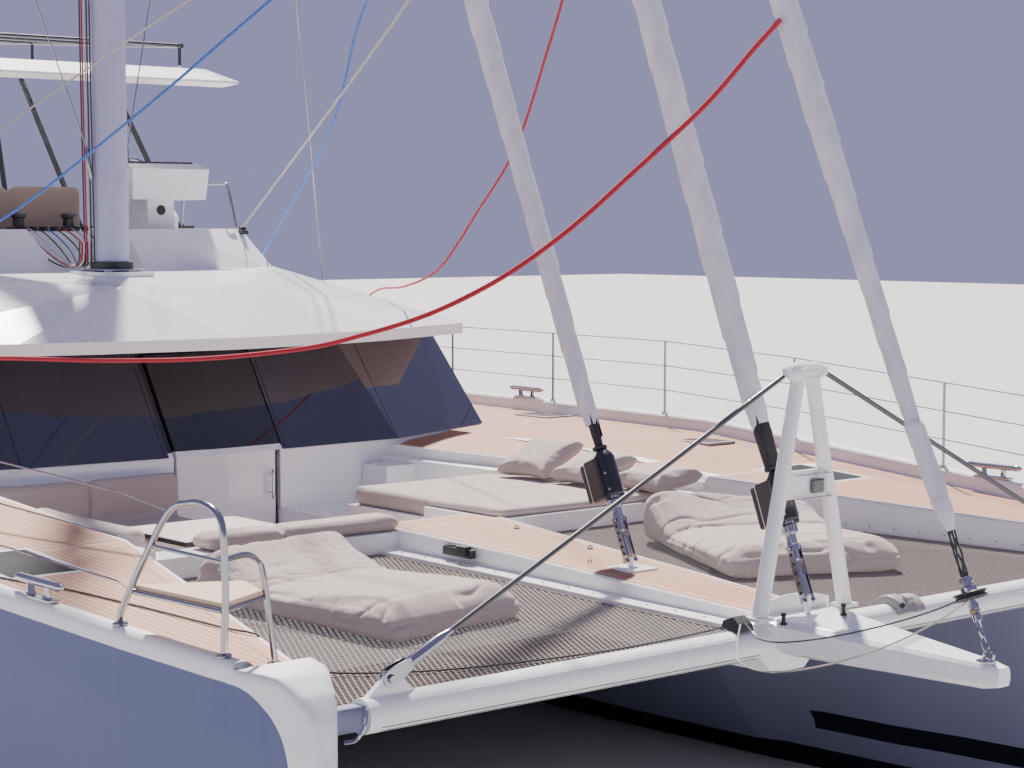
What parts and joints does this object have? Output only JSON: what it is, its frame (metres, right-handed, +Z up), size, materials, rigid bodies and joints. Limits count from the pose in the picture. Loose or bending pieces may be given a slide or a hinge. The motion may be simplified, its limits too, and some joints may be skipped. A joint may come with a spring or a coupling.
{
  "type": "sailing catamaran",
  "caption": "Large cruising sailing catamaran afloat, sails furled, with flybridge, forward cockpit, nets, turning rudders, helms, propellers, doors, hatches and boom.",
  "frame": {"origin": "amidships on the centreline, at the waterline, where the water holds the boat", "axes": "+X forward to the bows, +Y to port, +Z up along the mast"},
  "size_m": [21.5, 10, 30.45],
  "materials": {
    "topsides": "gloss blue-grey paint over fibreglass",
    "gelcoat": "white gelcoat",
    "glass": "tinted glass",
    "cushion": "woven outdoor fabric",
    "sailcloth": "matt sailcloth",
    "net": "woven net",
    "steel": "polished stainless steel",
    "alloy": "painted aluminium",
    "black": "satin black",
    "engine": "grey paint"
  },
  "bodies": {
    "boat": {"hull_port": "topsides", "hull_starboard": "topsides", "engine_port": "engine", "engine_starboard": "engine", "bridgedeck": "gelcoat", "dinette_cushions": "cushion", "coaming_cushion": "cushion", "cockpit_table": "gelcoat", "sunbed_mattress": "cushion", "pillow_1": "cushion", "pillow_2": "cushion", "pillow_3": "cushion", "deckhouse": "gelcoat", "glazing_port": "glass", "glazing_starboard": "glass", "coachroof": "gelcoat", "mast": "alloy", "genoa_furler_drive": "black", "staysail_furler_drive": "black", "crossbeam": "gelcoat", "bowsprit": "gelcoat", "striker_frame": "gelcoat", "striker_stay_port": "steel", "striker_stay_starboard": "steel", "cap_shroud_port": "steel", "cap_shroud_starboard": "steel", "foredeck_walkway": "gelcoat", "trampoline_port": "net", "trampoline_starboard": "net", "lounger_starboard": "cushion", "lounger_port": "cushion", "pulpit_port": "steel", "pulpit_starboard": "steel", "lifelines_port": "steel", "lifelines_starboard": "steel", "hardtop": "gelcoat", "helm_console_port": "gelcoat", "helm_console_starboard": "gelcoat", "flybridge_sofa": "cushion", "flybridge_lounge": "cushion", "saloon_sofa": "cushion", "aft_cockpit_cushion": "cushion"},
    "rudder_port": {"rudder_port": "topsides"},
    "rudder_starboard": {"rudder_starboard": "topsides"},
    "propeller_port": {"propeller_port": "steel"},
    "propeller_starboard": {"propeller_starboard": "steel"},
    "engine_hatch_port": {"engine_hatch_port": "gelcoat"},
    "engine_hatch_starboard": {"engine_hatch_starboard": "gelcoat"},
    "deck_hatch_port": {"deck_hatch_port": "glass"},
    "deck_hatch_starboard": {"deck_hatch_starboard": "glass"},
    "front_door": {"front_door": "glass"},
    "aft_door": {"aft_door": "glass"},
    "gooseneck": {"gooseneck": "steel"},
    "boom": {"boom": "alloy", "sail_bag": "sailcloth"},
    "genoa": {"genoa_furled": "sailcloth"},
    "staysail": {"staysail_furled": "sailcloth"},
    "code_zero": {"code_zero_furled": "sailcloth"},
    "helm_wheel_port": {"helm_wheel_port": "steel"},
    "helm_wheel_starboard": {"helm_wheel_starboard": "steel"}
  },
  "joints": [
    {"name": "steering_starboard", "type": "hinge", "parent": "boat", "child": "rudder_starboard", "pos_m": [-8.75, -3.95, 0], "axis": [0, 0, 1], "range_deg": [-35, 35]},
    {"name": "steering_port", "type": "hinge", "parent": "boat", "child": "rudder_port", "pos_m": [-8.75, 3.95, 0], "axis": [0, 0, 1], "range_deg": [-35, 35]},
    {"name": "helm_port_turn", "type": "hinge", "parent": "boat", "child": "helm_wheel_port", "pos_m": [-0.9, 1.475, 4.79], "axis": [1, 0, 0], "range_deg": [-420, 420]},
    {"name": "helm_starboard_turn", "type": "hinge", "parent": "boat", "child": "helm_wheel_starboard", "pos_m": [-0.9, -1.475, 4.79], "axis": [1, 0, 0], "range_deg": [-420, 420]},
    {"name": "propeller_port_spin", "type": "hinge", "parent": "boat", "child": "propeller_port", "pos_m": [-7.52, 3.95, -0.9], "axis": [1, 0, 0], "continuous": true},
    {"name": "propeller_starboard_spin", "type": "hinge", "parent": "boat", "child": "propeller_starboard", "pos_m": [-7.52, -3.95, -0.9], "axis": [1, 0, 0], "continuous": true},
    {"name": "engine_hatch_port_lift", "type": "hinge", "parent": "boat", "child": "engine_hatch_port", "pos_m": [-6.325, 3.426, 2.56], "axis": [1, 0, 0], "range_deg": [0, 85]},
    {"name": "deck_hatch_port_lift", "type": "hinge", "parent": "boat", "child": "deck_hatch_port", "pos_m": [6.21, 3.63, 2.451], "axis": [0, -1, 0], "range_deg": [0, 80]},
    {"name": "engine_hatch_starboard_lift", "type": "hinge", "parent": "boat", "child": "engine_hatch_starboard", "pos_m": [-6.325, -3.426, 2.56], "axis": [-1, 0, 0], "range_deg": [0, 85]},
    {"name": "deck_hatch_starboard_lift", "type": "hinge", "parent": "boat", "child": "deck_hatch_starboard", "pos_m": [6.21, -3.63, 2.451], "axis": [0, -1, 0], "range_deg": [0, 80]},
    {"name": "front_door_swing", "type": "hinge", "parent": "boat", "child": "front_door", "pos_m": [3.29, -0.505, 2], "axis": [0, 0, -1], "range_deg": [0, 90]},
    {"name": "aft_door_slide", "type": "slide", "parent": "boat", "child": "aft_door", "axis": [0, 1, 0], "range_m": [0, 1.2]},
    {"name": "boom_swing", "type": "hinge", "parent": "boat", "child": "gooseneck", "pos_m": [1.05468, 0, 6.98], "axis": [0, 0, 1], "range_deg": [-50, 50]},
    {"name": "boom_lift", "type": "hinge", "parent": "gooseneck", "child": "boom", "pos_m": [0.98468, 0, 6.98], "axis": [0, 1, 0], "range_deg": [0, 8]},
    {"name": "genoa_furl", "type": "hinge", "parent": "boat", "child": "genoa", "pos_m": [9.79, 0, 2.215], "axis": [-0.3586, 0, 0.9335], "continuous": true},
    {"name": "staysail_furl", "type": "hinge", "parent": "boat", "child": "staysail", "pos_m": [8.22, 0, 2.265], "axis": [-0.3888, 0, 0.9213], "continuous": true},
    {"name": "code_zero_furl", "type": "hinge", "parent": "boat", "child": "code_zero", "pos_m": [11.13, 0, 2.11], "axis": [-0.3762, 0, 0.9265], "continuous": true}
  ],
  "couplings": [
    {"joint": "steering_port", "follows": "steering_starboard", "ratio": 1},
    {"joint": "helm_port_turn", "follows": "steering_starboard", "ratio": -12},
    {"joint": "helm_starboard_turn", "follows": "steering_starboard", "ratio": -12}
  ]
}
